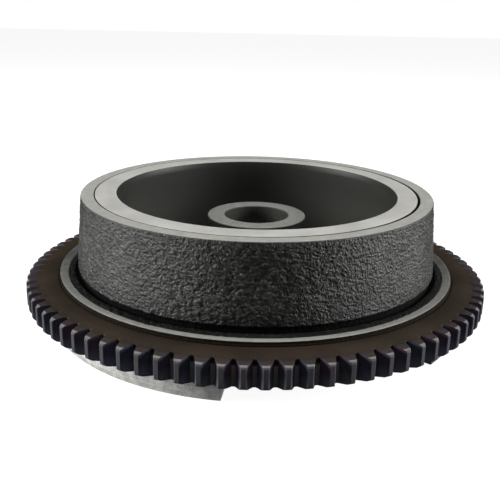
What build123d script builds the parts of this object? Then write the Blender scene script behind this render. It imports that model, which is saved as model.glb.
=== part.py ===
from build123d import *
from math import acos, cos, pi, radians, sin, tan
import os

# Flywheel of a small engine: a cast-iron cup with alternator magnets inside its rim, and a steel
# starter ring gear shrunk onto the flange round its closed end.
# The origin is on the crankshaft axis at the lowest face of the casting. +Z points out of the cup.
# Angles are in degrees, counted from +X towards +Y.

# ---- Starter ring gear ----
TEETH = 84
MODULE = 2.5
PRESSURE_ANGLE = 20
TOOTH_PHASE = -1.75
GEAR_BOTTOM = 9.0
GEAR_TOP = 21.3
GEAR_BORE_R = 93.0
GEAR_BORE_CHAMFER = 0.4
UPPER_FACE_R = 98.3
LOWER_FACE_R = 100.9
TOOTH_TOP = 20.6
TOOTH_BOTTOM = 10.5
TIP_BEVEL_R = 105.9
TIP_BEVEL_HEIGHT = 1.2

# ---- Casting, heights above the lowest face ----
RIM_TOP = 58.0
HUB_TOP = 46.0
LIP_TOP = 23.0
LIP_STEP = 21.0
GROOVE_FLOOR = 21.2
UNDERCUT_BOTTOM = 22.4
UNDERCUT_TOP = 24.4
WALL_FOOT = 25.2
CUP_FLOOR = 17.0
WEB_UNDERSIDE = 6.0
BOSS_UNDERSIDE = 3.0

# ---- Casting, radii ----
RIM_R = 81.5
WALL_FOOT_R = 84.0
UNDERCUT_R = 83.2
GROOVE_INNER_R = 83.8
GROOVE_OUTER_R = 85.2
LIP_R = 92.3
LIP_EDGE = 0.2
REGISTER_R = 92.95
SHOULDER_R = 96.9
CUP_BORE_R = 75.4
WEB_RECESS_R = 80.0
HUB_TOP_R = 23.2
HUB_FOOT_R = 24.0
BOSS_R = 29.0
EDGE_BREAK = 0.5

# ---- Crankshaft taper, 1:8 on the diameter, large end on the closed side ----
TAPER_SMALL_R = 14.9
TAPER_RATE = 1 / 16
KEYWAY_WIDTH = 5.0
KEYWAY_DEPTH = 2.3
KEYWAY_TOP = 42.0
KEYWAY_OVERRUN = 2.0

# ---- Window in the shoulder under the ring gear ----
WINDOW_START = -97.0
WINDOW_SWEEP = 57.0
WINDOW_ROOF = 7.4
WINDOW_INNER_R = 84.0
WINDOW_FILLET = 3.0

# ---- Puller holes through the web, balance drillings on the closed side ----
PULLER_COUNT = 3
PULLER_CIRCLE_R = 38.0
PULLER_HOLE_R = 3.4
BALANCE_CIRCLE_R = 88.5
BALANCE_ANGLES = (99.0, 110.0, 121.0)
BALANCE_HOLE_R = 4.0
BALANCE_DEPTH = 5.0

# ---- Magnet pack inside the rim ----
MAGNETS = 12
MAGNET_SWEEP = 25.5
SPACER_SWEEP = 4.2
PACK_INNER_R = 65.1
LINER_WALL = 1.2
BOND_GAP = 0.2
BASE_RING_TOP = 20.5
END_RING_BOTTOM = 55.0
END_RING_ROUND = 1.0
JOINT_CHAMFER = 0.4

os.makedirs("parts", exist_ok=True)

pitch_r = TEETH * MODULE / 2
tip_r = pitch_r + MODULE
root_r = pitch_r - 1.25 * MODULE
tooth_pitch = 360 / TEETH
magnet_pitch = 360 / MAGNETS


# ---- Starter ring gear ----
def involute(angle):
    """Involute function of a pressure angle in radians."""
    return tan(angle) - angle


def half_tooth(r):
    """Half of a tooth's width at radius r, as an angle in degrees."""
    at_pitch = pi / (2 * TEETH) + involute(radians(PRESSURE_ANGLE))
    base_r = pitch_r * cos(radians(PRESSURE_ANGLE))
    return (at_pitch - involute(acos(base_r / r))) * 180 / pi


def on_circle(r, angle):
    """Point at radius r and angle."""
    return (r * cos(radians(angle)), r * sin(radians(angle)))


def draw_tooth(centre):
    """One tooth's two flanks and tip, and the root up to the next tooth."""
    flank_radii = (root_r, pitch_r, tip_r)
    first = [on_circle(r, centre - half_tooth(r)) for r in flank_radii]
    second = [on_circle(r, centre + half_tooth(r)) for r in reversed(flank_radii)]
    next_tooth = on_circle(root_r, centre + tooth_pitch - half_tooth(root_r))
    ThreePointArc(*first)
    ThreePointArc(first[-1], on_circle(tip_r, centre), second[0])
    ThreePointArc(*second)
    ThreePointArc(second[-1], on_circle(root_r, centre + tooth_pitch / 2), next_tooth)


with BuildPart() as ring_gear:
    with BuildSketch(Plane.XY.offset(GEAR_BOTTOM)):
        with BuildLine():
            for tooth in range(TEETH):
                draw_tooth(TOOTH_PHASE + tooth * tooth_pitch)
        make_face()
        Circle(GEAR_BORE_R, mode=Mode.SUBTRACT)
    extrude(amount=GEAR_TOP - GEAR_BOTTOM)
    # The turned blank, whose outer corners are bevelled so that the pinion can slide into mesh.
    with BuildSketch(Plane.XZ):
        with BuildLine():
            Polyline(
                (GEAR_BORE_R, GEAR_BOTTOM + GEAR_BORE_CHAMFER),
                (GEAR_BORE_R + GEAR_BORE_CHAMFER, GEAR_BOTTOM),
                (LOWER_FACE_R, GEAR_BOTTOM),
                (TIP_BEVEL_R, TOOTH_BOTTOM),
                (tip_r, TOOTH_BOTTOM + TIP_BEVEL_HEIGHT),
                (tip_r, TOOTH_TOP - TIP_BEVEL_HEIGHT),
                (TIP_BEVEL_R, TOOTH_TOP),
                (root_r, TOOTH_TOP),
                (UPPER_FACE_R, GEAR_TOP),
                (GEAR_BORE_R + GEAR_BORE_CHAMFER, GEAR_TOP),
                (GEAR_BORE_R, GEAR_TOP - GEAR_BORE_CHAMFER),
                close=True,
            )
        make_face()
    revolve(axis=Axis.Z, mode=Mode.INTERSECT)
ring_gear.part.label = "ring_gear"
export_step(ring_gear.part, "parts/ring_gear.step")


# ---- Casting ----
def taper_r(height):
    """Radius of the crankshaft taper at a height."""
    return TAPER_SMALL_R + TAPER_RATE * (HUB_TOP - height)


def round_corner(sketch, r, height, radius):
    """Round the corner of a half section that is nearest to radius r and a height."""
    fillet(sketch.vertices().sort_by_distance((r, height))[0], radius)


with BuildPart() as flywheel_casting:
    with BuildSketch(Plane.XZ) as half_section:
        with BuildLine():
            Polyline(
                # closed side, from the taper outwards
                (taper_r(BOSS_UNDERSIDE + EDGE_BREAK), BOSS_UNDERSIDE + EDGE_BREAK),
                (taper_r(BOSS_UNDERSIDE) + EDGE_BREAK, BOSS_UNDERSIDE),
                (BOSS_R, BOSS_UNDERSIDE),
                (BOSS_R + 1.0, WEB_UNDERSIDE),
                (WEB_RECESS_R - 1.5, WEB_UNDERSIDE),
                (WEB_RECESS_R, 0),
                # shoulder, register and lip
                (SHOULDER_R - EDGE_BREAK, 0),
                (SHOULDER_R, EDGE_BREAK),
                (SHOULDER_R, GEAR_BOTTOM),
                (REGISTER_R, GEAR_BOTTOM),
                (REGISTER_R, LIP_STEP),
                (LIP_R, LIP_STEP),
                (LIP_R, LIP_TOP - LIP_EDGE),
                (LIP_R - LIP_EDGE, LIP_TOP),
                (GROOVE_OUTER_R, LIP_TOP),
                # groove and undercut at the wall's foot, wall and rim
                (GROOVE_OUTER_R, GROOVE_FLOOR),
                (GROOVE_INNER_R, GROOVE_FLOOR),
                (UNDERCUT_R, UNDERCUT_BOTTOM),
                (UNDERCUT_R, UNDERCUT_TOP),
                (WALL_FOOT_R, WALL_FOOT),
                (RIM_R, RIM_TOP - EDGE_BREAK),
                (RIM_R - EDGE_BREAK, RIM_TOP),
                (CUP_BORE_R + JOINT_CHAMFER, RIM_TOP),
                (CUP_BORE_R, RIM_TOP - JOINT_CHAMFER),
                # inside of the cup and hub
                (CUP_BORE_R, CUP_FLOOR),
                (HUB_FOOT_R, CUP_FLOOR),
                (HUB_TOP_R, HUB_TOP - EDGE_BREAK),
                (HUB_TOP_R - EDGE_BREAK, HUB_TOP),
                (TAPER_SMALL_R + EDGE_BREAK, HUB_TOP),
                (taper_r(HUB_TOP - EDGE_BREAK), HUB_TOP - EDGE_BREAK),
                close=True,
            )
        make_face()
        round_corner(half_section, HUB_FOOT_R, CUP_FLOOR, 4.0)
        round_corner(half_section, BOSS_R + 1.0, WEB_UNDERSIDE, 1.5)
        round_corner(half_section, WEB_RECESS_R - 1.5, WEB_UNDERSIDE, 2.5)
        round_corner(half_section, WEB_RECESS_R, 0, 1.0)
        round_corner(half_section, GROOVE_OUTER_R, LIP_TOP, 0.4)
        round_corner(half_section, GROOVE_OUTER_R, GROOVE_FLOOR, 0.4)
        round_corner(half_section, GROOVE_INNER_R, GROOVE_FLOOR, 0.3)
        round_corner(half_section, WALL_FOOT_R, WALL_FOOT, 0.4)
    revolve(axis=Axis.Z)

    # window: a stretch of the shoulder cut back, with a thin roof left under the ring gear
    with BuildSketch(Plane.XY):
        with BuildLine():
            inner_edge = CenterArc((0, 0), WINDOW_INNER_R, WINDOW_START, WINDOW_SWEEP)
            outer_edge = CenterArc((0, 0), SHOULDER_R + 1, WINDOW_START, WINDOW_SWEEP)
            Line(inner_edge @ 0, outer_edge @ 0)
            Line(inner_edge @ 1, outer_edge @ 1)
        make_face()
    extrude(amount=WINDOW_ROOF, mode=Mode.SUBTRACT)
    roof_edges = flywheel_casting.edges().filter_by_position(
        Axis.Z, WINDOW_ROOF - 0.01, WINDOW_ROOF + 0.01
    )
    fillet(roof_edges.filter_by(GeomType.LINE), WINDOW_FILLET)

    # keyway, open on the closed side, whose floor follows the taper
    keyway_bottom = BOSS_UNDERSIDE - KEYWAY_OVERRUN
    with BuildSketch(Plane.YZ):
        with BuildLine():
            Polyline(
                (0, keyway_bottom),
                (0, KEYWAY_TOP),
                (taper_r(KEYWAY_TOP) + KEYWAY_DEPTH, KEYWAY_TOP),
                (taper_r(keyway_bottom) + KEYWAY_DEPTH, keyway_bottom),
                close=True,
            )
        make_face()
    extrude(amount=KEYWAY_WIDTH / 2, both=True, mode=Mode.SUBTRACT)

    # tapped puller holes through the web
    with BuildSketch(Plane.XY.offset(WEB_UNDERSIDE)):
        with PolarLocations(PULLER_CIRCLE_R, PULLER_COUNT, start_angle=90):
            Circle(PULLER_HOLE_R)
    extrude(amount=CUP_FLOOR - WEB_UNDERSIDE, mode=Mode.SUBTRACT)

    # balance drillings opposite the window
    with BuildSketch(Plane.XY):
        for angle in BALANCE_ANGLES:
            with Locations(on_circle(BALANCE_CIRCLE_R, angle)):
                Circle(BALANCE_HOLE_R)
    extrude(amount=BALANCE_DEPTH, mode=Mode.SUBTRACT)
flywheel_casting.part.label = "flywheel_casting"
export_step(flywheel_casting.part, "parts/flywheel_casting.step")


# ---- Magnet pack: base ring, magnets and spacers, liner, end ring ----
magnet_inner_r = PACK_INNER_R + LINER_WALL + BOND_GAP / 2
pack_outer_r = CUP_BORE_R - BOND_GAP

with BuildPart() as magnet_base_ring:
    with BuildSketch(Plane.XY.offset(CUP_FLOOR)):
        Circle(pack_outer_r)
        Circle(PACK_INNER_R, mode=Mode.SUBTRACT)
    extrude(amount=BASE_RING_TOP - CUP_FLOOR)
    chamfer(magnet_base_ring.edges().sort_by(Axis.Z)[-1], JOINT_CHAMFER)
magnet_base_ring.part.label = "magnet_base_ring"
export_step(magnet_base_ring.part, "parts/magnet_base_ring.step")

with BuildPart() as magnet_liner:
    with BuildSketch(Plane.XY.offset(BASE_RING_TOP)):
        Circle(PACK_INNER_R + LINER_WALL)
        Circle(PACK_INNER_R, mode=Mode.SUBTRACT)
    extrude(amount=END_RING_BOTTOM - BASE_RING_TOP)
magnet_liner.part.label = "magnet_liner"
export_step(magnet_liner.part, "parts/magnet_liner.step")

with BuildPart() as magnet_end_ring:
    with BuildSketch(Plane.XY.offset(END_RING_BOTTOM)):
        Circle(pack_outer_r)
        Circle(PACK_INNER_R, mode=Mode.SUBTRACT)
    extrude(amount=RIM_TOP - END_RING_BOTTOM)
    top_edges = magnet_end_ring.edges().group_by(Axis.Z)[-1].sort_by(SortBy.RADIUS)
    fillet(top_edges[0], END_RING_ROUND)
    chamfer(top_edges[-1], JOINT_CHAMFER)
magnet_end_ring.part.label = "magnet_end_ring"
export_step(magnet_end_ring.part, "parts/magnet_end_ring.step")


def draw_pack_sector(centre, sweep):
    """Sector of the magnet pack, between the liner and the cup's bore."""
    inner = CenterArc((0, 0), magnet_inner_r, centre - sweep / 2, sweep)
    outer = CenterArc((0, 0), pack_outer_r, centre - sweep / 2, sweep)
    Line(inner @ 0, outer @ 0)
    Line(inner @ 1, outer @ 1)


for index in range(MAGNETS):
    magnet_name = f"magnet_{index + 1:02d}"
    with BuildPart() as magnet:
        with BuildSketch(Plane.XY.offset(BASE_RING_TOP)):
            with BuildLine():
                draw_pack_sector(index * magnet_pitch, MAGNET_SWEEP)
            make_face()
        extrude(amount=END_RING_BOTTOM - BASE_RING_TOP)
        chamfer(magnet.edges().filter_by(Axis.Z), EDGE_BREAK)
    magnet.part.label = magnet_name
    export_step(magnet.part, f"parts/{magnet_name}.step")

    spacer_name = f"spacer_{index + 1:02d}"
    with BuildPart() as spacer:
        with BuildSketch(Plane.XY.offset(BASE_RING_TOP)):
            with BuildLine():
                draw_pack_sector((index + 0.5) * magnet_pitch, SPACER_SWEEP)
            make_face()
        extrude(amount=END_RING_BOTTOM - BASE_RING_TOP)
        fillet(spacer.edges().filter_by(Axis.Z), EDGE_BREAK)
    spacer.part.label = spacer_name
    export_step(spacer.part, f"parts/{spacer_name}.step")
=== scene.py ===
from math import cos, hypot, pi, radians, sin, tan

import bmesh
import bpy
import numpy as np
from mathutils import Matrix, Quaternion, Vector, noise


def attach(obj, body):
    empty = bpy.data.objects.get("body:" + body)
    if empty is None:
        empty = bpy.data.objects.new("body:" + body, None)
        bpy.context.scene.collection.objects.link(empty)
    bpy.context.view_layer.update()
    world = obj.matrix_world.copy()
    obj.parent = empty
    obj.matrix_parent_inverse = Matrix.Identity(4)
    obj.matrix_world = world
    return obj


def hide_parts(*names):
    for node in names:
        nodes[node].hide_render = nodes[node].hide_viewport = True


# Looks of a small engine's flywheel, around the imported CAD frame.
# The origin is on the crankshaft axis at the casting's lowest face, and +Z points out of the open
# cup. The photograph is taken from -Y. Shapes are drawn in millimetres and built in metres.
# Angles are in degrees, counted from +X towards +Y.

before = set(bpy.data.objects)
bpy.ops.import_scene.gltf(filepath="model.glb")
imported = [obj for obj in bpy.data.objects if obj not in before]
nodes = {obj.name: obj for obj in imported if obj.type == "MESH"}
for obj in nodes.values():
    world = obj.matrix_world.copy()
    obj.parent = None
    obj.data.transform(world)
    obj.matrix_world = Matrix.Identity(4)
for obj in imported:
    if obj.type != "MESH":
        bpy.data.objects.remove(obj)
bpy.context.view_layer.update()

MM = 0.001
WHITE = (1.0, 1.0, 1.0, 1.0)


# ---- Mesh helpers ----
def on_circle(radius, height, angles):
    """Points round the Z axis, as rows of x, y and z. The radius may differ from point to point."""
    turn = np.radians(angles)
    heights = np.full(len(turn), height)
    return np.stack([radius * np.cos(turn), radius * np.sin(turn), heights], axis=1)


class Shell:
    """Vertices and faces of one mesh, gathered ring by ring. Lengths are in millimetres."""

    def __init__(self):
        self.points = []
        self.faces = []

    def ring(self, points):
        """Add a ring of points and return its vertex numbers."""
        start = len(self.points)
        self.points.extend(points.tolist())
        return list(range(start, start + len(points)))

    def join(self, ring_a, ring_b, closed=True):
        """Quads between two rings that have the same number of points."""
        count = len(ring_a)
        for i in range(count if closed else count - 1):
            j = (i + 1) % count
            self.faces.append((ring_a[i], ring_a[j], ring_b[j], ring_b[i]))

    def bridge(self, ring_a, angles_a, ring_b, angles_b):
        """Triangles between two closed rings whose points are at different angles."""
        a, b = 0, 0
        around_a = list(angles_a) + [angles_a[0] + 360.0]
        around_b = list(angles_b) + [angles_b[0] + 360.0]
        while a < len(ring_a) or b < len(ring_b):
            corner_a, corner_b = ring_a[a % len(ring_a)], ring_b[b % len(ring_b)]
            step_a = b == len(ring_b) or (a < len(ring_a) and around_a[a + 1] <= around_b[b + 1])
            if step_a:
                a += 1
                self.faces.append((corner_a, ring_a[a % len(ring_a)], corner_b))
            else:
                b += 1
                self.faces.append((corner_a, ring_b[b % len(ring_b)], corner_b))

    def build(self, name):
        """Blender object made of the gathered faces, riding on the frame."""
        mesh = bpy.data.meshes.new(name)
        mesh.from_pydata((np.array(self.points) * MM).tolist(), [], self.faces)
        shape = bmesh.new()
        shape.from_mesh(mesh)
        bmesh.ops.recalc_face_normals(shape, faces=shape.faces)
        shape.to_mesh(mesh)
        shape.free()
        made = bpy.data.objects.new(name, mesh)
        bpy.context.scene.collection.objects.link(made)
        return made


def polar(piece):
    """Radius and height in millimetres, and angle in degrees, of each vertex."""
    points = np.zeros(len(piece.data.vertices) * 3)
    piece.data.vertices.foreach_get("co", points)
    x, y, z = points.reshape(-1, 3).T / MM
    return np.hypot(x, y), z, np.degrees(np.arctan2(y, x))


def store(piece, name, values):
    """Keep one number for each vertex, for a material to read."""
    layer = piece.data.attributes.new(name, "FLOAT", "POINT")
    layer.data.foreach_set("value", values.astype(np.float32))


def smooth_edges(piece, sharp_angle, rough=None):
    """Shade smoothly, apart from edges sharper than an angle. Edges on rough skin stay smooth."""
    shape = bmesh.new()
    shape.from_mesh(piece.data)
    limit = radians(sharp_angle)
    for face in shape.faces:
        face.smooth = True
    for edge in shape.edges:
        cast = rough is not None and all(rough(v.co) for v in edge.verts)
        edge.smooth = cast or edge.calc_face_angle(0.0) < limit
    shape.to_mesh(piece.data)
    shape.free()


def between(low, high, values):
    """0 below low, 1 above high and an even slope between them."""
    return np.clip((values - low) / (high - low), 0.0, 1.0)


# ---- Casting ----
RIM_TOP = 58.0
RIM_R = 81.5
WALL_FOOT_R = 84.0
WALL_FOOT = 25.4
LIP_TOP = 23.0
LIP_R = 92.3
REGISTER_R = 92.95
SHOULDER_R = 96.9
SHOULDER_TOP = 9.0
CUP_BORE_R = 75.4
CUP_FLOOR = 17.0
HUB_TOP = 46.0
WINDOW_START = -97.0
WINDOW_END = -40.0
WINDOW_ROOF = 7.4
WINDOW_INNER_R = 84.0
WINDOW_FILLET = 3.0
PULLER_HOLE_R = 3.4
PULLER_CIRCLE_R = 38.0
PULLER_ANGLES = (90, 210, 330)
DRILLING_R = 4.0
DRILLING_CIRCLE_R = 88.5
DRILLING_DEPTH = 5.0
DRILLING_ANGLES = (99, 110, 121)
KEYWAY_HALF_WIDTH = 2.5
# Height, and distance from the axis to the keyway's floor, at its open end and its blind end.
KEYWAY_ENDS = ((1.0, 20.0), (42.0, 17.45))
# How bright the hub's turned top is, from 0 to 1.
HUB_TONE = 0.52

FINE_COLUMNS = 800
COARSE_COLUMNS = 288
WALL_ROWS = 74
fine_angles = WINDOW_START + np.arange(FINE_COLUMNS) * 360.0 / FINE_COLUMNS

# Outside of the cup, from the rim's corner down to the lip: radius, height and share of the relief.
RIM_CORNER = [(81.1, 58.0, 0.0), (81.4, 57.8, 0.1)]
FOOT_AND_GROOVE = [
    (84.0, 25.1, 0.9), (83.7, 24.7, 0.7), (83.4, 24.2, 0.6), (83.2, 23.4, 0.5), (83.2, 22.5, 0.4),
    (83.5, 21.7, 0.4), (84.0, 21.25, 0.3), (84.6, 21.3, 0.3), (85.0, 21.8, 0.4), (85.2, 22.4, 0.5),
    (85.45, 22.8, 0.7), (85.8, 22.95, 0.9),
]
LEDGE_RADII = (86.3, 86.8, 87.3, 87.8, 88.3, 88.8, 89.3, 89.8, 90.4)
LEDGE = [(radius, LIP_TOP, 1.0) for radius in LEDGE_RADII]

# The lip's outer edge down to the shoulder, whose last point the window shares.
LIP_AND_REGISTER = [
    (91.0, LIP_TOP), (92.0, LIP_TOP), (92.25, 22.9), (LIP_R, 22.7), (LIP_R, 21.9), (92.6, 21.6),
    (REGISTER_R, 21.5), (REGISTER_R, SHOULDER_TOP), (SHOULDER_R - 0.3, SHOULDER_TOP),
    (SHOULDER_R, SHOULDER_TOP - 0.3),
]
# Closed side, bore, hub and inside of the cup, from the shoulder's underside to the rim.
INNER_SECTION = [
    (81.0, 0.0), (80.3, 0.3), (79.9, 1.2), (78.9, 4.6), (77.9, 5.6), (76.5, 6.0), (32.0, 6.0),
    (30.6, 5.8), (29.5, 4.6), (29.1, 3.3), (28.6, 3.0), (18.1, 3.0), (17.55, 3.5), (15.0, 45.5),
    (15.2, 45.8), (15.5, HUB_TOP), (22.8, HUB_TOP), (23.1, 45.85), (23.3, 45.4), (23.7, 22.0),
    (24.3, 19.4), (25.7, 17.6), (28.0, CUP_FLOOR), (50.0, CUP_FLOOR), (CUP_BORE_R, CUP_FLOOR),
    (CUP_BORE_R, 57.6), (75.8, RIM_TOP), (78.0, RIM_TOP), (80.4, RIM_TOP),
]


def relief_strength(angle, height):
    """How bold the casting's skin is. The pattern left it rougher low on the left of the front."""
    from_front = (angle + 90.0 + 180.0) % 360.0 - 180.0
    left = np.exp(-(((from_front + 30.0) / 28.0) ** 2)) * np.clip((50.0 - height) / 20.0, 0.0, 1.0)
    return 0.85 + 0.6 * left


def lip_edge(angle):
    """Radius where the lip's machined face begins. It starts further out at the front."""
    return 87.8 + 1.7 * np.sqrt(np.clip(-np.sin(np.radians(angle)), 0.0, 1.0))


def cast_relief(x, y, z):
    """Height in millimetres of the sand-cast skin at a point."""
    pebbles = noise.fractal(Vector((x / 1.6, y / 1.6, z / 0.72)), 0.7, 2.0, 2)
    lumps = noise.noise(Vector((x, y, z)) / 3.6 + Vector((7.0, 3.0, 1.0)))
    swell = noise.noise(Vector((x, y, z)) / 17.0)
    return 0.41 * pebbles + 0.16 * lumps + 0.10 * swell


def outside_rows():
    """Rows of the finely divided skin, each a radius, a height and a share of the relief."""
    wall = []
    for i in range(WALL_ROWS):
        down = i / (WALL_ROWS - 1)
        radius = RIM_R + (WALL_FOOT_R - RIM_R) * down
        height = RIM_TOP - 0.4 + (WALL_FOOT - RIM_TOP + 0.4) * down
        wall.append((radius, height, min(1.0, 0.12 + 0.18 * i)))
    return RIM_CORNER + wall + FOOT_AND_GROOVE + LEDGE


def skin_ring(rows, i):
    """Points of one row of the skin, moved in and out by the relief."""
    radius, height, share = rows[i]
    points = on_circle(radius, height, fine_angles)
    before, after = rows[max(i - 1, 0)], rows[min(i + 1, len(rows) - 1)]
    along = Vector((after[0] - before[0], after[1] - before[1])).normalized()
    outward, upward = -along.y, along.x
    strength = relief_strength(fine_angles, height) * share
    if radius > 85.6:  # The skin ends unevenly where the lip's machined face begins.
        uneven = lip_edge(fine_angles) + 0.35 * np.sin(np.radians(fine_angles) * 21)
        strength = strength * np.clip((uneven - radius) / 0.8, 0.0, 1.0)
    moved = np.array([cast_relief(*p) for p in points]) * strength
    points[:, :2] *= (1.0 + moved * outward / radius)[:, None]
    points[:, 2] += moved * upward
    points[:, 2] = np.minimum(points[:, 2], RIM_TOP)
    return points


def coarse_columns():
    """Column angles, closer together where the window's roof curves down to its ends."""
    even = WINDOW_START + np.arange(COARSE_COLUMNS) * 360.0 / COARSE_COLUMNS
    near_end = np.array([0.12, 0.3, 0.6, 0.95, 1.6])
    columns = np.concatenate([even, WINDOW_START + near_end, WINDOW_END - near_end])
    return np.unique(np.round(columns, 4))


def window_roof(angles):
    """Height of the window's roof, which a fillet brings down to each end."""
    to_end = np.radians(np.minimum(angles - WINDOW_START, WINDOW_END - angles)) * SHOULDER_R
    inside = np.clip(WINDOW_FILLET - to_end, 0.0, WINDOW_FILLET)
    return WINDOW_ROOF - WINDOW_FILLET + np.sqrt(WINDOW_FILLET**2 - inside**2)


def shoulder(shell, columns, top_ring, bottom_ring):
    """Outside of the shoulder, with the window between its two ends."""
    first = int(np.argmin(abs(columns - WINDOW_START)))
    last = int(np.argmin(abs(columns - WINDOW_END)))
    window = list(range(first, last + 1))
    solid = [i % len(columns) for i in range(last, len(columns) + first + 1)]
    corner_height = WINDOW_ROOF - WINDOW_FILLET
    rows = [(SHOULDER_R, corner_height), (SHOULDER_R, 0.5), (SHOULDER_R - 0.15, 0.15)]
    rows += [(SHOULDER_R - 0.5, 0.0), (90.0, 0.0)]
    rings = [shell.ring(on_circle(r, z, columns[solid])) for r, z in rows]
    stack = [[top_ring[i] for i in solid]] + rings + [[bottom_ring[i] for i in solid]]
    for upper, lower in zip(stack, stack[1:]):
        shell.join(upper, lower, closed=False)
    roof = window_roof(columns[window])
    edge = on_circle(SHOULDER_R, 0.0, columns[window])
    edge[:, 2] = roof
    inner = on_circle(WINDOW_INNER_R, 0.0, columns[window])
    inner[:, 2] = roof
    middle = shell.ring(edge[1:-1])
    edge_ring = [rings[0][-1]] + middle + [rings[0][0]]
    inner_ring = shell.ring(inner)
    shell.join([top_ring[i] for i in window], edge_ring, closed=False)
    shell.join(edge_ring, inner_ring, closed=False)
    shell.join(inner_ring, [bottom_ring[i] for i in window], closed=False)
    for solid_end, window_end in ((-1, 0), (0, -1)):
        face = [ring[solid_end] for ring in rings]
        foot = bottom_ring[window[window_end]]
        shell.faces.append(tuple(face + [foot, inner_ring[window_end]]))


def cutter(name, radius, bottom, top, centres):
    """Cylinders to cut round holes with, as one object."""
    shell = Shell()
    for x, y in centres:
        rims = []
        for height in (bottom, top):
            points = on_circle(radius, height, np.arange(0, 360, 10))
            points[:, 0] += x
            points[:, 1] += y
            rims.append(shell.ring(points))
        shell.join(*rims)
        shell.faces.extend([tuple(rims[0]), tuple(rims[1])])
    return shell.build(name)


def keyway_cutter():
    """The keyway's box, which leans with the taper."""
    shell = Shell()
    side, inside_bore = KEYWAY_HALF_WIDTH, 10.0
    rings = []
    for height, reach in KEYWAY_ENDS:
        corners = [(-side, -inside_bore), (side, -inside_bore), (side, -reach), (-side, -reach)]
        rings.append(shell.ring(np.array([(x, y, height) for x, y in corners])))
    shell.join(*rings)
    shell.faces.extend([tuple(rings[0]), tuple(rings[1])])
    return shell.build("keyway_cutter")


def cut(piece, *cutters):
    """Subtract each cutter from a piece and remove the cutters."""
    for tool in cutters:
        boolean = piece.modifiers.new("cut", "BOOLEAN")
        boolean.operation = "DIFFERENCE"
        boolean.solver = "EXACT"
        boolean.object = tool
        with bpy.context.temp_override(object=piece, active_object=piece, selected_objects=[piece]):
            bpy.ops.object.modifier_apply(modifier="cut")
        bpy.data.objects.remove(tool)


def places_round(radius, angles):
    """Places on a circle round the Z axis, as x and y."""
    return [(radius * cos(radians(a)), radius * sin(radians(a))) for a in angles]


def make_casting():
    """The whole casting as one closed mesh, with its holes cut."""
    shell = Shell()
    columns = coarse_columns()
    rows = outside_rows()
    skin = [shell.ring(skin_ring(rows, i)) for i in range(len(rows))]
    for upper, lower in zip(skin, skin[1:]):
        shell.join(upper, lower)
    lip = [shell.ring(on_circle(r, z, columns)) for r, z in LIP_AND_REGISTER]
    shell.bridge(skin[-1], fine_angles, lip[0], columns)
    for upper, lower in zip(lip, lip[1:]):
        shell.join(upper, lower)
    underside = shell.ring(on_circle(WINDOW_INNER_R, 0.0, columns))
    shoulder(shell, columns, lip[-1], underside)
    inner = [underside] + [shell.ring(on_circle(r, z, columns)) for r, z in INNER_SECTION]
    for upper, lower in zip(inner, inner[1:]):
        shell.join(upper, lower)
    shell.bridge(inner[-1], columns, skin[0], fine_angles)
    casting = shell.build("cast_flywheel_body")
    puller_places = places_round(PULLER_CIRCLE_R, PULLER_ANGLES)
    pullers = cutter("puller_holes", PULLER_HOLE_R, 4.0, CUP_FLOOR + 2.0, puller_places)
    drilling_places = places_round(DRILLING_CIRCLE_R, DRILLING_ANGLES)
    drillings = cutter("balance_drillings", DRILLING_R, -1.0, DRILLING_DEPTH, drilling_places)
    cut(casting, pullers, drillings, keyway_cutter())
    return casting


def is_skin(point):
    """Whether a point is on the rough outside of the cup."""
    radius, height = hypot(point.x, point.y) / MM, point.z / MM
    return 80.9 < radius < 90.3 and 19.0 < height < 57.9


def mark_casting(casting):
    """Store where the casting is machined, how bright it is there, and how its skin rises. On the
    lip and the shoulder, that brightness is painted light and shade.
    """
    radius, height, angle = polar(casting)
    lip = between(-0.35, 0.35, radius - lip_edge(angle)) * (height > 22.85) * (height < 24.0)
    rim = 1.0 * (height > 57.9) * (radius > 74.0)
    hub = 1.0 * (height > 45.6) * (radius < 23.2)
    shoulder_zone = 1.0 * (height < 9.8) * (radius > 79.0)
    bore = 1.0 * (radius < 18.5) * (height < 45.9)
    store(casting, "machined", np.maximum.reduce([lip, rim, hub, shoulder_zone, bore]))
    # Painted light: the lip's machined face is brighter at the front and darker towards the sides.
    lip_painted_light = 0.8 * np.clip(-np.sin(np.radians(angle)), 0.0, 1.0)
    # Painted shade: the shoulder's ground face is darker towards +X, the right.
    ground_painted_light = np.clip(0.75 - 0.9 * np.cos(np.radians(angle)), 0.0, 1.0)
    tone = lip_painted_light * lip + rim + HUB_TONE * hub * (1.0 - bore) + ground_painted_light * shoulder_zone
    store(casting, "tone", np.minimum(tone, 1.0))
    # How far the relief moved each point of the wall, and where the cup is painted black.
    slope = (WALL_FOOT_R - RIM_R) / (RIM_TOP - WALL_FOOT)
    nominal = RIM_R + slope * (RIM_TOP - height)
    on_wall = (height > WALL_FOOT) * (radius > 80.0) * (height < 57.5)
    # The material also uses the relief to darken the hollows and lighten the bumps, as painted
    # shade and highlight.
    store(casting, "relief", np.where(on_wall, radius - nominal, 0.0))
    inside = (height < 45.6) * (height > 16.0) * (radius < 76.0) * (radius > 19.0)
    dark_gap = (height < 57.95) * (height > 16.0) * (radius < 75.9) * (radius > 70.0)
    store(casting, "inside", 1.0 * (inside | dark_gap))


# ---- Ring gear ----
TEETH = 84
PITCH_R = 105.0
TIP_R = 107.5
ROOT_R = 101.875
TOOTH_PHASE = -1.75
PRESSURE_ANGLE = 20.0
GEAR_BORE_R = 93.0
GEAR_TOP = 21.3
GEAR_BOTTOM = 9.0

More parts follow.
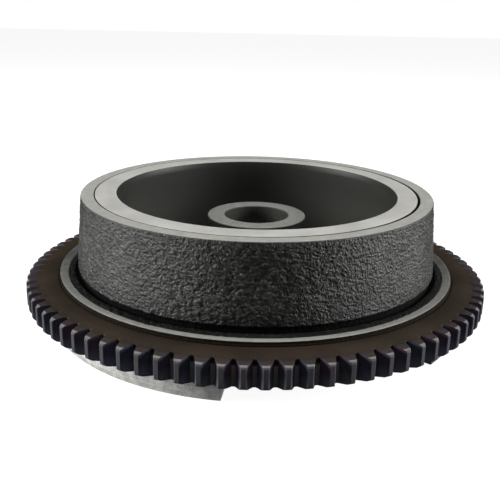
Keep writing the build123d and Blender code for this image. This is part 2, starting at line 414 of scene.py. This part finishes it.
# Sections from the lower face to the upper face: height, tip radius, root radius, edge wear.
GEAR_SECTIONS = [
    (9.0, 100.9, 100.9, 0.0), (9.3, 101.9, 101.7, 0.0), (9.9, 103.9, ROOT_R, 0.1),
    (10.45, 105.75, ROOT_R, 0.2), (10.65, 106.2, ROOT_R, 0.3), (11.1, 106.8, ROOT_R, 0.2),
    (11.7, 107.4, ROOT_R, 0.1), (12.2, TIP_R, ROOT_R, 0.0), (14.5, TIP_R, ROOT_R, 0.0),
    (17.0, TIP_R, ROOT_R, 0.0), (19.3, TIP_R, ROOT_R, 0.0), (19.75, 107.25, ROOT_R, 0.3),
    (20.1, 106.8, ROOT_R, 1.0), (20.3, 106.4, ROOT_R, 1.0), (20.45, 105.7, 101.8, 0.3),
    (20.55, 105.0, 101.75, 0.0), (20.62, 103.4, 101.7, 0.0), (20.68, 101.75, 101.6, 0.0),
    (21.1, 99.6, 99.6, 0.0),
]


def involute(angle):
    """Involute function of an angle in radians."""
    return np.tan(angle) - angle


def half_tooth(radius):
    """Half of a tooth's width at a radius, in degrees. The root rounds into the flank."""
    pressure = radians(PRESSURE_ANGLE)
    base = PITCH_R * cos(pressure)
    at_pitch = pi / (2 * TEETH) + tan(pressure) - pressure
    flank = np.degrees(at_pitch - involute(np.arccos(np.minimum(base / radius, 1.0))))
    root_round = np.clip((103.4 - radius) / 1.5, 0.0, 1.2) ** 2
    return flank + 0.13 * root_round


def tooth_outline(tip_r, root_r):
    """One tooth from its leading root to its trailing root: angle from its centre, and radius."""
    climb = np.array([0.0, 0.04, 0.15, 0.3, 0.5, 0.7, 0.87, 0.96])
    radius = root_r + (tip_r - root_r) * climb
    side = half_tooth(radius)
    tip_half = half_tooth(np.array([tip_r]))[0] - 0.1
    angles = np.concatenate([-side, [-tip_half, -tip_half / 3, tip_half / 3, tip_half], side[::-1]])
    radii = np.concatenate([radius, [tip_r] * 4, radius[::-1]])
    return angles, radii


def gear_ring(height, tip_r, root_r):
    """Outline of the whole gear at a height."""
    angles, radii = tooth_outline(tip_r, root_r)
    centres = TOOTH_PHASE + np.arange(TEETH) * 360.0 / TEETH
    around = (centres[:, None] + angles[None, :]).ravel()
    return on_circle(np.tile(radii, TEETH), height, around)


def make_ring_gear():
    """The ring gear, with its edge wear and its flanks stored for the material."""
    shell = Shell()
    rings = [shell.ring(gear_ring(height, tip, root)) for height, tip, root, _ in GEAR_SECTIONS]
    count = len(rings[0])
    turn = np.degrees(np.arctan2(*np.array(shell.points[:count])[:, 1::-1].T))
    # Upper face, bore and lower face.
    plain = [(GEAR_TOP, 98.3), (GEAR_TOP, 96.5), (GEAR_TOP, 94.0), (GEAR_TOP - 0.1, 93.3)]
    plain += [(GEAR_TOP - 0.5, GEAR_BORE_R), (GEAR_BOTTOM + 0.4, GEAR_BORE_R), (GEAR_BOTTOM, 93.4)]
    plain += [(GEAR_BOTTOM, 97.0)]
    rings += [shell.ring(on_circle(radius, height, turn)) for height, radius in plain]
    for lower, upper in zip(rings, rings[1:] + rings[:1]):
        shell.join(lower, upper)
    gear = shell.build("starter_ring_gear")
    wear = np.zeros(len(shell.points))
    flank = np.zeros(len(shell.points))
    upper_face = 20.65
    profile = tooth_outline(TIP_R, ROOT_R)[0]
    # The outline's two ends are roots, and its middle four points are the tip.
    on_flank = np.ones(len(profile))
    on_flank[[0, 8, 9, 10, 11, -1]] = 0.0
    on_tip = 1.0 * (np.arange(len(profile)) > 6) * (np.arange(len(profile)) < 13)
    for index, section in enumerate(GEAR_SECTIONS):
        span = slice(index * count, (index + 1) * count)
        end_face = 20.4 < section[0] < upper_face
        wear[span] = section[3] * np.tile(on_tip, TEETH)
        flank[span] = 0.5 if end_face else np.tile(on_flank, TEETH) * (section[0] < upper_face)
    store(gear, "wear", wear)
    store(gear, "flank", flank)
    return gear


# ---- End ring ----
END_RING_BOTTOM = 55.0
PACK_INNER_R = 65.1
END_RING_COLUMNS = 240
# Inner face and top face: distance from the inner face, height and blackening.
END_RING_INNER = [
    (0.0, END_RING_BOTTOM, 1.0), (0.0, 57.5, 1.0), (0.1, 57.8, 1.0), (0.3, 57.93, 0.6),
]
END_RING_TOP = [(0.6, 57.97, 0.0), (1.2, RIM_TOP, 0.0), (5.0, RIM_TOP, 0.0)]
# Outer edge: distance from the outer edge, height and blackening.
END_RING_OUTER = [
    (-0.5, RIM_TOP, 0.0), (-0.15, 57.93, 0.3), (0.0, 57.75, 1.0), (0.0, END_RING_BOTTOM, 1.0),
]


def make_end_ring():
    """Ring over the magnets, set slightly to the left, so that its joint is wider on the right."""
    shell = Shell()
    angles = np.arange(END_RING_COLUMNS) * 360.0 / END_RING_COLUMNS
    outer_r = 74.8 - 0.4 * np.cos(np.radians(angles))
    rings, black = [], []
    for offset, height, blackening in END_RING_INNER + END_RING_TOP:
        rings.append(shell.ring(on_circle(PACK_INNER_R + offset, height, angles)))
        black += [blackening] * END_RING_COLUMNS
    for offset, height, blackening in END_RING_OUTER:
        rings.append(shell.ring(on_circle(outer_r + offset, height, angles)))
        black += [blackening] * END_RING_COLUMNS
    for upper, lower in zip(rings, rings[1:] + rings[:1]):
        shell.join(upper, lower)
    ring = shell.build("turned_end_ring")
    store(ring, "blackened", np.array(black))
    return ring


# ---- Materials ----
# Linear colours. A pair is the darkest and the lightest tone of one surface.
CAST_SKIN = (0.014, 0.014, 0.0125, 1), (0.064, 0.065, 0.059, 1)
# Painted shade: darker tone for the wall's skin towards its foot.
FOOT_SHADE = (0.010, 0.010, 0.009, 1)
CAST_LEDGE = (0.006, 0.006, 0.006, 1), (0.046, 0.046, 0.042, 1)
# Painted shade: near-black for the groove at the wall's foot.
GROOVE_SHADE = (0.004, 0.004, 0.004, 1)
# Painted shade: near-black brown for the lip's outer side, under its edge.
LIP_SIDE_SHADE = (0.013, 0.0105, 0.007, 1)
BRIGHT_FACE = (0.30, 0.30, 0.275, 1), (0.42, 0.415, 0.385, 1)
DULL_FACE = (0.05, 0.05, 0.046, 1), (0.12, 0.12, 0.112, 1)
# The shoulder's ground face: its paleness is partly the machined iron and partly painted reflection
# of the floor.
GROUND_FACE = (0.44, 0.435, 0.42, 1), (0.78, 0.775, 0.75, 1)
GROUND_IN_SHADE = (0.10, 0.10, 0.10, 1)
CUP_BLACK = (0.0180, 0.0187, 0.0153, 1)
# Painted light: paler tone that the cup's black takes lower down.
CUP_PAINTED_FILL = (0.070, 0.0725, 0.062, 1)
# Painted shade: near-black for the hub's side, darker than the cup's paint.
HUB_SIDE_SHADE = (0.006, 0.006, 0.005, 1)
BORE_GREY = (0.055, 0.055, 0.050, 1)
LINER_BLACK = (0.019, 0.020, 0.016, 1)
BROWN_OXIDE = (0.016, 0.0103, 0.0058, 1), (0.024, 0.0160, 0.0094, 1)
# Heat tint of the flanks, made lighter as painted fill light. The lower flanks' pair is lighter
# still.
FLANK_TINT = (0.034, 0.043, 0.066, 1), (0.052, 0.036, 0.052, 1)
LOW_FLANK_TINT_AND_FILL = (0.110, 0.135, 0.180, 1), (0.125, 0.115, 0.135, 1)
TOOTH_TIP = (0.062, 0.062, 0.070, 1)
TOOTH_ROOT = (0.24, 0.23, 0.23, 1)
WORN_EDGE = (0.17, 0.16, 0.15, 1)
ALUMINIUM = (0.42, 0.415, 0.385, 1), (0.52, 0.515, 0.485, 1)
BLACKENED = (0.014, 0.0145, 0.012, 1)
# Heights in metres between which the cup's black changes to a paler tone lower down: painted light
# where little light reaches.
PAINTED_FILL_HEIGHTS = (0.054, 0.018)


class Graph:
    """One procedural material, built node by node."""

    def __init__(self, name):
        self.material = bpy.data.materials.new(name)
        self.material.use_nodes = True
        self.nodes = self.material.node_tree.nodes
        self.links = self.material.node_tree.links
        self.shader = self.nodes["Principled BSDF"]

    def put(self, socket, value):
        """Set a socket to a number or colour, or link another node's output to it."""
        if isinstance(value, bpy.types.NodeSocket):
            self.links.new(value, socket)
        else:
            socket.default_value = value

    def node(self, kind, inputs=None, **settings):
        """A node with its settings and the sockets named in inputs."""
        made = self.nodes.new(kind)
        for key, value in settings.items():
            setattr(made, key, value)
        for key, value in (inputs or {}).items():
            self.put(made.inputs[key], value)
        return made

    def place(self):
        """Position on the object, in metres."""
        return self.node("ShaderNodeTexCoord").outputs["Object"]

    def stored(self, name):
        """A number stored for each vertex."""
        return self.node("ShaderNodeAttribute", attribute_name=name).outputs["Fac"]

    def math(self, operation, a, b):
        """Result of one arithmetic operation on two numbers."""
        return self.node("ShaderNodeMath", {0: a, 1: b}, operation=operation).outputs[0]

    def add(self, *values):
        """Sum of values, each given with its weight."""
        parts = [self.math("MULTIPLY", value, weight) for value, weight in values]
        total = parts[0]
        for part in parts[1:]:
            total = self.math("ADD", total, part)
        return total

    def noise(self, where, scale, detail=2.0, roughness=0.5):
        """Noise from 0 to 1, whose scale is in features per metre."""
        inputs = {"Vector": where, "Scale": scale, "Detail": detail, "Roughness": roughness}
        return self.node("ShaderNodeTexNoise", inputs).outputs["Fac"]

    def remap(self, value, low, high, to_low=0.0, to_high=1.0):
        """Value between low and high, moved smoothly to lie between to_low and to_high."""
        inputs = {"Value": value, "From Min": low, "From Max": high}
        inputs.update({"To Min": to_low, "To Max": to_high})
        return self.node("ShaderNodeMapRange", inputs, interpolation_type="SMOOTHSTEP").outputs[0]

    def mix(self, factor, a, b):
        """Colour a where factor is 0 and colour b where it is 1."""
        made = self.node("ShaderNodeMix", data_type="RGBA")
        self.put(made.inputs["Factor"], factor)
        self.put(made.inputs[6], a)
        self.put(made.inputs[7], b)
        return made.outputs[2]

    def blend(self, factor, a, b):
        """Number a where factor is 0 and number b where it is 1."""
        made = self.node("ShaderNodeMix", data_type="FLOAT")
        self.put(made.inputs["Factor"], factor)
        self.put(made.inputs[2], a)
        self.put(made.inputs[3], b)
        return made.outputs[0]

    def radius_and_height(self, where):
        """Distance from the Z axis and height, in metres."""
        x, y, z = self.node("ShaderNodeSeparateXYZ", {0: where}).outputs
        flat = self.node("ShaderNodeCombineXYZ", {"X": x, "Y": y}).outputs[0]
        length = self.node("ShaderNodeVectorMath", {0: flat}, operation="LENGTH")
        return length.outputs["Value"], z

    def turned(self, where, pitch, drift=18.0):
        """Rings round the Z axis, as a lathe tool leaves them, that change along the turn."""
        x, y, z = self.node("ShaderNodeSeparateXYZ", {0: where}).outputs
        radius, height = self.radius_and_height(where)
        across = self.math("MULTIPLY", self.math("ADD", radius, height), 1.0 / pitch)
        along_x = self.math("MULTIPLY", x, drift)
        along_y = self.math("MULTIPLY", y, drift)
        inputs = {"X": across, "Y": along_x, "Z": along_y}
        lathe = self.node("ShaderNodeCombineXYZ", inputs).outputs[0]
        return self.noise(lathe, 1.0, 2.0, 0.6)

    def bump(self, height, distance):
        """Normal of a surface whose height from 0 to 1 stands for a distance in metres."""
        inputs = {"Height": height, "Distance": distance, "Strength": 1.0}
        return self.node("ShaderNodeBump", inputs).outputs[0]

    def finish(self, **sockets):
        """Put values on the shader's sockets. Underscores in a name stand for spaces."""
        for key, value in sockets.items():
            self.put(self.shader.inputs[key.replace("_", " ")], value)
        return self.material


def cast_iron():
    """Sand-cast skin, turned faces where it is machined, and black paint inside the cup."""
    g = Graph("cast_iron")
    where = g.place()
    radius, height = g.radius_and_height(where)
    grain = g.noise(where, 1900.0, 3.0, 0.6)
    grit = g.noise(where, 1000.0, 2.0, 0.5)
    patches = g.noise(where, 55.0, 3.0, 0.55)
    # Painted shade and painted highlight: besides the grit and patches, the skin is darker where
    # the relief sinks and lighter where it rises.
    relief = g.remap(g.stored("relief"), -0.3, 0.3)
    shade = g.add((grit, 0.4), (patches, 0.25), (relief, 0.45))
    skin = g.mix(g.remap(shade, 0.35, 0.85), *CAST_SKIN)
    # Painted shade: the skin is darkened towards the wall's foot, unevenly with the patches.
    foot_shade = g.remap(g.add((height, 1.0), (patches, -0.008)), 0.0295, 0.0220)
    skin = g.mix(g.math("MULTIPLY", foot_shade, 0.85), skin, FOOT_SHADE)
    ledge = g.mix(g.remap(shade, 0.4, 0.8), *CAST_LEDGE)
    # Painted shade: inside 85.1 mm radius the groove at the wall's foot is coloured near-black.
    groove = g.mix(g.remap(radius, 0.0851, 0.0857), GROOVE_SHADE, ledge)
    # Painted shade: the lip's outer side is coloured near-black brown, to blend with the gear's
    # face.
    groove = g.mix(g.remap(radius, 0.0918, 0.0921), groove, LIP_SIDE_SHADE)
    skin = g.mix(g.remap(height, 0.0246, 0.0256), groove, skin)
    rings = g.turned(where, 0.00045)
    blotch = g.noise(where, 260.0, 4.0, 0.7)
    face_shade = g.add((rings, 0.2), (blotch, 0.45), (grain, 0.35))
    bright = g.mix(g.remap(face_shade, 0.35, 0.65), *BRIGHT_FACE)
    dull = g.mix(g.remap(face_shade, 0.35, 0.65), *DULL_FACE)
    ground = g.mix(g.remap(face_shade, 0.38, 0.62), *GROUND_FACE)
    # On the lip, tone mixes the dull and bright faces as painted shade and light.
    turned = g.mix(g.stored("tone"), dull, bright)
    # Painted shade: tone darkens the shoulder's ground face towards GROUND_IN_SHADE on the right.
    ground = g.mix(g.stored("tone"), GROUND_IN_SHADE, ground)
    turned = g.mix(g.remap(height, 0.0100, 0.0090), turned, ground)
    broken = g.add((g.stored("machined"), 1.0), (g.noise(where, 420.0, 3.0), 0.5))
    machined = g.remap(broken, 0.66, 0.82)
    outside = g.mix(machined, skin, turned)
    # Painted light: the cup's black is made paler lower down, where little light reaches.
    painted_fill = g.remap(height, *PAINTED_FILL_HEIGHTS)
    lining = g.mix(painted_fill, CUP_BLACK, CUP_PAINTED_FILL)
    # Painted shade: the hub's side and its foot are darker than the rest of the cup.
    hub_side_shade = g.remap(radius, 0.0262, 0.0245)
    lining = g.mix(hub_side_shade, lining, HUB_SIDE_SHADE)
    colour = g.mix(g.stored("inside"), outside, lining)
    colour = g.mix(g.remap(radius, 0.0154, 0.0152), colour, BORE_GREY)
    skin_rough = g.remap(grit, 0.2, 0.8, 0.27, 0.40)
    face_rough = g.remap(face_shade, 0.3, 0.7, 0.45, 0.6)
    flange = g.remap(height, 0.0256, 0.0246)
    rough = g.blend(machined, g.blend(flange, skin_rough, 0.85), face_rough)
    skin_height = g.add((grit, 0.65), (grain, 0.35))
    face_height = g.add((rings, 0.4), (grain, 0.6))
    height_mix = g.blend(machined, g.math("MULTIPLY", skin_height, 15.0), face_height)
    return g.finish(
        Base_Color=colour,
        Metallic=g.blend(machined, g.math("MULTIPLY", flange, 0.9), 0.35),
        Roughness=g.blend(g.stored("inside"), rough, 0.75),
        Specular_IOR_Level=0.3,
        Normal=g.bump(height_mix, 0.00006),
    )


def heat_tinted_steel():
    """Ring gear steel: brown oxide on its faces, blue and purple heat tint on its tooth flanks,
    lightened as painted fill light, most on the lower flanks.
    """
    g = Graph("heat_tinted_steel")
    where = g.place()
    blotch = g.noise(where, 42.0, 3.0, 0.55)
    grain = g.noise(where, 1300.0, 3.0)
    rings = g.turned(where, 0.0005)
    face = g.mix(g.remap(blotch, 0.35, 0.65), *BROWN_OXIDE)
    tint_noise = g.noise(where, 95.0, 2.0)
    tint = g.mix(g.remap(tint_noise, 0.35, 0.6), *FLANK_TINT)
    radius, height = g.radius_and_height(where)
    near_tip = g.remap(radius, 0.1066, 0.1070)
    body = g.mix(near_tip, face, TOOTH_TIP)
    in_gap = g.math("MULTIPLY", g.remap(radius, 0.1024, 0.1020), g.remap(height, 0.0186, 0.0174))
    body = g.mix(in_gap, body, TOOTH_ROOT)
    # Painted light: the lower flanks take a lighter tint, standing in for fill light.
    low_tint_and_fill = g.mix(tint_noise, *LOW_FLANK_TINT_AND_FILL)
    tint = g.mix(g.remap(height, 0.0165, 0.0105), tint, low_tint_and_fill)
    body = g.mix(g.remap(g.stored("flank"), 0.3, 0.9), body, tint)
    worn = g.add((g.stored("wear"), 0.8), (g.noise(where, 380.0, 3.0), 0.6))
    edge = g.remap(worn, 0.68, 1.05)
    colour = g.mix(edge, body, WORN_EDGE)
    return g.finish(
        Base_Color=colour,
        Metallic=g.blend(edge, 0.0, 0.5),
        Roughness=g.remap(grain, 0.2, 0.8, 0.5, 0.66),
        Specular_IOR_Level=0.15,
        Normal=g.bump(g.add((rings, 0.6), (grain, 0.5)), 0.00003),
    )


def turned_aluminium():
    """End ring: finely turned on top, blackened on its inner face."""
    g = Graph("turned_aluminium")
    where = g.place()
    rings = g.turned(where, 0.00022, 30.0)
    blotch = g.noise(where, 70.0, 3.0)
    grain = g.noise(where, 1400.0, 2.0)
    shade = g.add((rings, 0.4), (blotch, 0.4), (grain, 0.2))
    metal = g.mix(g.remap(shade, 0.35, 0.65), *ALUMINIUM)
    black = g.remap(g.stored("blackened"), 0.3, 0.7)
    return g.finish(
        Base_Color=g.mix(black, metal, BLACKENED),
        Metallic=g.blend(black, 0.35, 0.0),
        Roughness=g.remap(shade, 0.3, 0.7, 0.42, 0.56),
        Specular_IOR_Level=0.3,
        Normal=g.bump(g.add((rings, 0.8), (grain, 0.3)), 0.00003),
    )


def dark_lining(name, colour, roughness):
    """Flat black paint or plastic over the magnets, made paler lower down as painted light."""
    g = Graph(name)
    where = g.place()
    grain = g.noise(where, 900.0, 3.0)
    tone = g.noise(where, 40.0, 2.0)
    darker = tuple(c * 0.8 for c in colour[:3]) + (1.0,)
    _, height = g.radius_and_height(where)
    # Painted light: paler lower down, like the cup's black.
    painted_fill = g.remap(height, *PAINTED_FILL_HEIGHTS)
    black = g.mix(g.remap(tone, 0.3, 0.7), darker, colour)
    return g.finish(
        Base_Color=g.mix(painted_fill, black, CUP_PAINTED_FILL),
        Roughness=g.remap(grain, 0.2, 0.8, roughness - 0.06, roughness + 0.06),
        Specular_IOR_Level=0.2,
        Normal=g.bump(grain, 0.00004),
    )


def paint(piece, material):
    """Give a piece one material."""
    piece.data.materials.clear()
    piece.data.materials.append(material)


# ---- Pieces ----
casting = make_casting()
mark_casting(casting)
smooth_edges(casting, 28.0, is_skin)
paint(casting, cast_iron())
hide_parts("flywheel_casting")
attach(casting, "root")

gear = make_ring_gear()
smooth_edges(gear, 24.0)
paint(gear, heat_tinted_steel())
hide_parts("ring_gear")
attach(gear, "root")

end_ring = make_end_ring()
smooth_edges(end_ring, 24.0)
paint(end_ring, turned_aluminium())
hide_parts("magnet_end_ring")
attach(end_ring, "root")

liner_black = dark_lining("black_liner", LINER_BLACK, 0.7)
for node_name, node in nodes.items():
    if node_name.startswith(("magnet_0", "magnet_1", "magnet_liner", "spacer", "magnet_base")):
        paint(node, liner_black)

# ---- Floor, light and camera ----
FLOOR_SIZE = 8.0
bpy.ops.mesh.primitive_plane_add(size=FLOOR_SIZE, location=(0, 0, 0))
floor = bpy.context.object
floor.name = "floor"
floor_look = Graph("pale_floor")
floor.data.materials.append(
    floor_look.finish(
        Base_Color=(0.25, 0.25, 0.25, 1),
        Roughness=0.9,
        Emission_Color=WHITE,
        Emission_Strength=0.92,
    )
)
floor.visible_diffuse = False
floor.visible_glossy = False

LIGHT_TARGET = (0, 0, 0.03)


def softbox(name, centre, size, strength):
    """A rectangular area light, aimed at the middle of the flywheel."""
    lamp = bpy.data.lights.new(name, "AREA")
    lamp.shape = "RECTANGLE"
    lamp.size, lamp.size_y = size
    lamp.energy = strength
    lamp_object = bpy.data.objects.new(name, lamp)
    bpy.context.scene.collection.objects.link(lamp_object)
    lamp_object.location = centre
    aim = Vector(LIGHT_TARGET) - Vector(centre)
    lamp_object.rotation_mode = "QUATERNION"
    lamp_object.rotation_quaternion = aim.to_track_quat("-Z", "Y")
    lamp_object.visible_camera = False


softbox("softbox_left", (-1.0, -0.17, 0.24), (0.5, 0.4), 18)
softbox("softbox_right", (1.0, -0.05, 0.24), (0.5, 0.4), 16)
softbox("softbox_top", (0, 0.05, 1.0), (1.2, 1.1), 10.5)

world = bpy.data.worlds.new("studio")
bpy.context.scene.world = world
world.use_nodes = True
world_nodes, world_links = world.node_tree.nodes, world.node_tree.links
background = world_nodes["Background"]
rays = world_nodes.new("ShaderNodeLightPath")
seen = world_nodes.new("ShaderNodeMapRange")
seen.inputs["To Min"].default_value = 0.04
world_links.new(rays.outputs["Is Camera Ray"], seen.inputs["Value"])
world_links.new(seen.outputs[0], background.inputs["Strength"])
background.inputs["Color"].default_value = WHITE

bpy.context.scene.view_settings.view_transform = "Standard"

CAMERA_PLACE = (0, -0.33549, 0.13944)
CAMERA_AIM = (-0.00272, 0, 0.02774)
CAMERA_ROLL = 1.2
CAMERA_LENS = 52.39
camera_data = bpy.data.cameras.new("camera")
camera_data.lens = CAMERA_LENS
camera_data.sensor_width = 36
camera_data.clip_start = 0.01
camera = bpy.data.objects.new("camera", camera_data)
bpy.context.scene.collection.objects.link(camera)
camera.location = CAMERA_PLACE
camera.rotation_mode = "QUATERNION"
aim = Vector(CAMERA_AIM) - Vector(CAMERA_PLACE)
roll = Quaternion((0, 0, 1), radians(CAMERA_ROLL))
camera.rotation_quaternion = aim.to_track_quat("-Z", "Y") @ roll
bpy.context.scene.camera = camera
